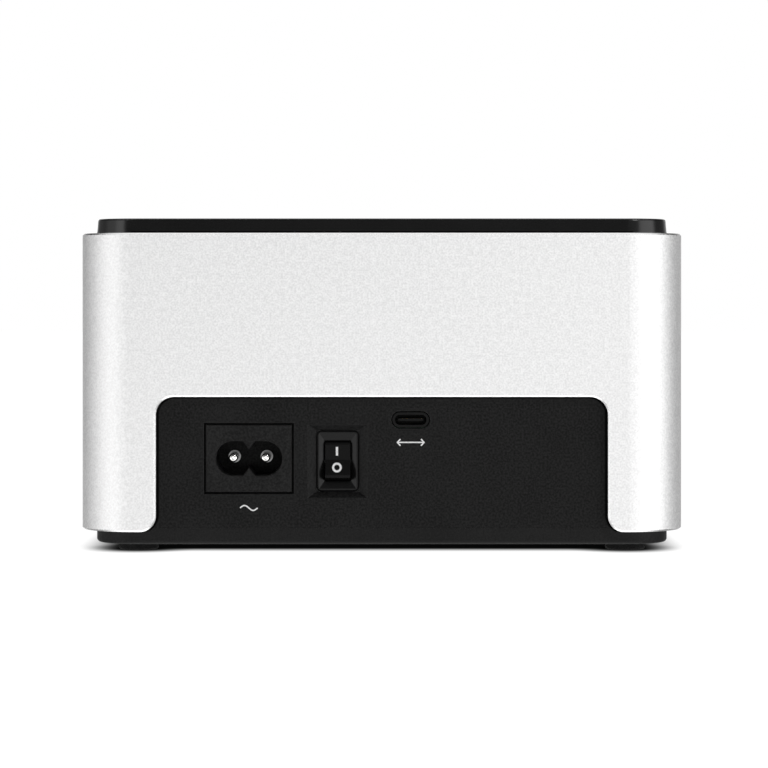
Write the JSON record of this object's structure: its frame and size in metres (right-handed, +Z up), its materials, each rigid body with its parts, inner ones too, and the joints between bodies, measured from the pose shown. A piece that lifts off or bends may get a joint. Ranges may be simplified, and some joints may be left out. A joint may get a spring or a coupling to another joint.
{
  "type": "hard drive docking station",
  "caption": "Docking station that holds two hard drives upright behind sprung flaps, with a rear mains inlet, rocker switch and data port.",
  "frame": {"origin": "on the table, under the middle of the case", "axes": "+X to the right seen from the front, +Y to the back where the connectors are, +Z up"},
  "size_m": [0.16, 0.132, 0.088],
  "materials": {
    "sleeve_aluminium": "bead-blasted and anodised, satin",
    "cover_plastic": "fine spark-eroded texture",
    "tray_plastic": "fine spark-eroded texture",
    "foot_rubber": "moulded",
    "screw_steel": "zinc plated",
    "panel_plastic": "fine spark-eroded texture",
    "inlet_plastic": "satin",
    "contact_nickel": "nickel plated",
    "switch_plastic": "satin",
    "paddle_plastic": "semi-gloss",
    "contact_brass": "plated",
    "port_steel": "drawn, nickel plated",
    "port_plastic": "moulded",
    "well_plastic": "moulded",
    "flap_plastic": "fine spark-eroded texture",
    "spring_steel": "drawn wire",
    "socket_plastic": "moulded",
    "board_laminate": "green solder mask",
    "chip_epoxy": "moulded epoxy",
    "heat_sink_aluminium": "extruded",
    "capacitor_aluminium": "sleeved cans",
    "ferrite": "sintered",
    "insulation_film": "polyester film",
    "winding_tape": "polyester tape",
    "filter_plastic": "moulded box",
    "fuse_glass": "clear tube",
    "lens_plastic": "clear acrylic",
    "button_plastic": "satin",
    "key_plastic": "moulded",
    "ring_aluminium": "turned and anodised",
    "cable_plastic": "grey flat cable",
    "plug_plastic": "natural nylon",
    "wire_plastic": "insulated"
  },
  "bodies": {
    "housing": {"outer_sleeve": "sleeve_aluminium", "top_cover": "cover_plastic", "base_tray": "tray_plastic", "rubber_feet": "foot_rubber", "case_screws": "screw_steel", "rear_panel": "panel_plastic", "panel_screws": "screw_steel", "mains_inlet_body": "inlet_plastic", "mains_inlet_pins": "contact_nickel", "mains_inlet_screws": "screw_steel", "rocker_housing": "switch_plastic", "rocker_terminals": "contact_brass", "data_port_shell": "port_steel", "data_port_tongue": "port_plastic", "drive_well_left": "well_plastic", "drive_well_right": "well_plastic", "flap_hinge_pin_left": "screw_steel", "flap_hinge_pin_right": "screw_steel", "flap_spring_left": "spring_steel", "flap_spring_right": "spring_steel", "drive_socket_left": "socket_plastic", "drive_socket_right": "socket_plastic", "socket_contacts": "contact_brass", "well_screws": "screw_steel", "main_board": "board_laminate", "bridge_chips": "chip_epoxy", "chip_heat_sinks": "heat_sink_aluminium", "main_board_capacitors": "capacitor_aluminium", "main_board_inductors": "ferrite", "insulation_sheet": "insulation_film", "power_supply_board": "board_laminate", "board_screws": "screw_steel", "transformer_core": "ferrite", "transformer_winding": "winding_tape", "bulk_capacitor": "capacitor_aluminium", "output_capacitors": "capacitor_aluminium", "mains_filter_choke": "ferrite", "mains_filter_capacitor": "filter_plastic", "mains_fuse": "fuse_glass", "power_supply_heat_sinks": "heat_sink_aluminium", "power_transistors": "chip_epoxy", "front_board": "board_laminate", "front_board_screws": "screw_steel", "status_lights": "lens_plastic", "button_rings": "ring_aluminium", "key_switches": "key_plastic", "light_pipes": "lens_plastic", "ribbon_cable": "cable_plastic", "cable_plugs": "plug_plastic", "mains_wires": "wire_plastic", "output_leads": "wire_plastic"},
    "flap_left": {"bay_flap_left": "flap_plastic"},
    "flap_right": {"bay_flap_right": "flap_plastic"},
    "rocker": {"rocker_paddle": "paddle_plastic"},
    "seesaw": {"rocker_seesaw_contact": "contact_brass"},
    "button_left": {"power_button_left": "button_plastic", "key_plunger_left": "key_plastic"},
    "button_right": {"power_button_right": "button_plastic", "key_plunger_right": "key_plastic"}
  },
  "joints": [
    {"name": "flap_left_hinge", "type": "hinge", "parent": "housing", "child": "flap_left", "pos_m": [-0.0142, 0.002, 0.0835], "axis": [0, -1, 0], "range_deg": [0, 88], "stiffness_Nm_per_rad": 0.002, "springref_deg": -34.38, "deforming": ["flap_spring_left"]},
    {"name": "flap_right_hinge", "type": "hinge", "parent": "housing", "child": "flap_right", "pos_m": [0.0458, 0.002, 0.0835], "axis": [0, -1, 0], "range_deg": [0, 88], "stiffness_Nm_per_rad": 0.002, "springref_deg": -34.38, "deforming": ["flap_spring_right"]},
    {"name": "rocker_tilt", "type": "hinge", "parent": "housing", "child": "rocker", "pos_m": [0.01168, 0.05853, 0.0239], "axis": [-1, 0, 0], "range_deg": [0, 22]},
    {"name": "seesaw_tilt", "type": "hinge", "parent": "housing", "child": "seesaw", "pos_m": [0.01168, 0.05133, 0.0239], "axis": [1, 0, 0], "range_deg": [0, 12]},
    {"name": "button_left_press", "type": "slide", "parent": "housing", "child": "button_left", "axis": [0, 1, 0], "range_m": [0, 0.0005], "stiffness_N_per_m": 400, "springref_m": -0.001},
    {"name": "button_right_press", "type": "slide", "parent": "housing", "child": "button_right", "axis": [0, 1, 0], "range_m": [0, 0.0005], "stiffness_N_per_m": 400, "springref_m": -0.001}
  ],
  "couplings": [
    {"joint": "seesaw_tilt", "follows": "rocker_tilt", "ratio": 0.545}
  ]
}
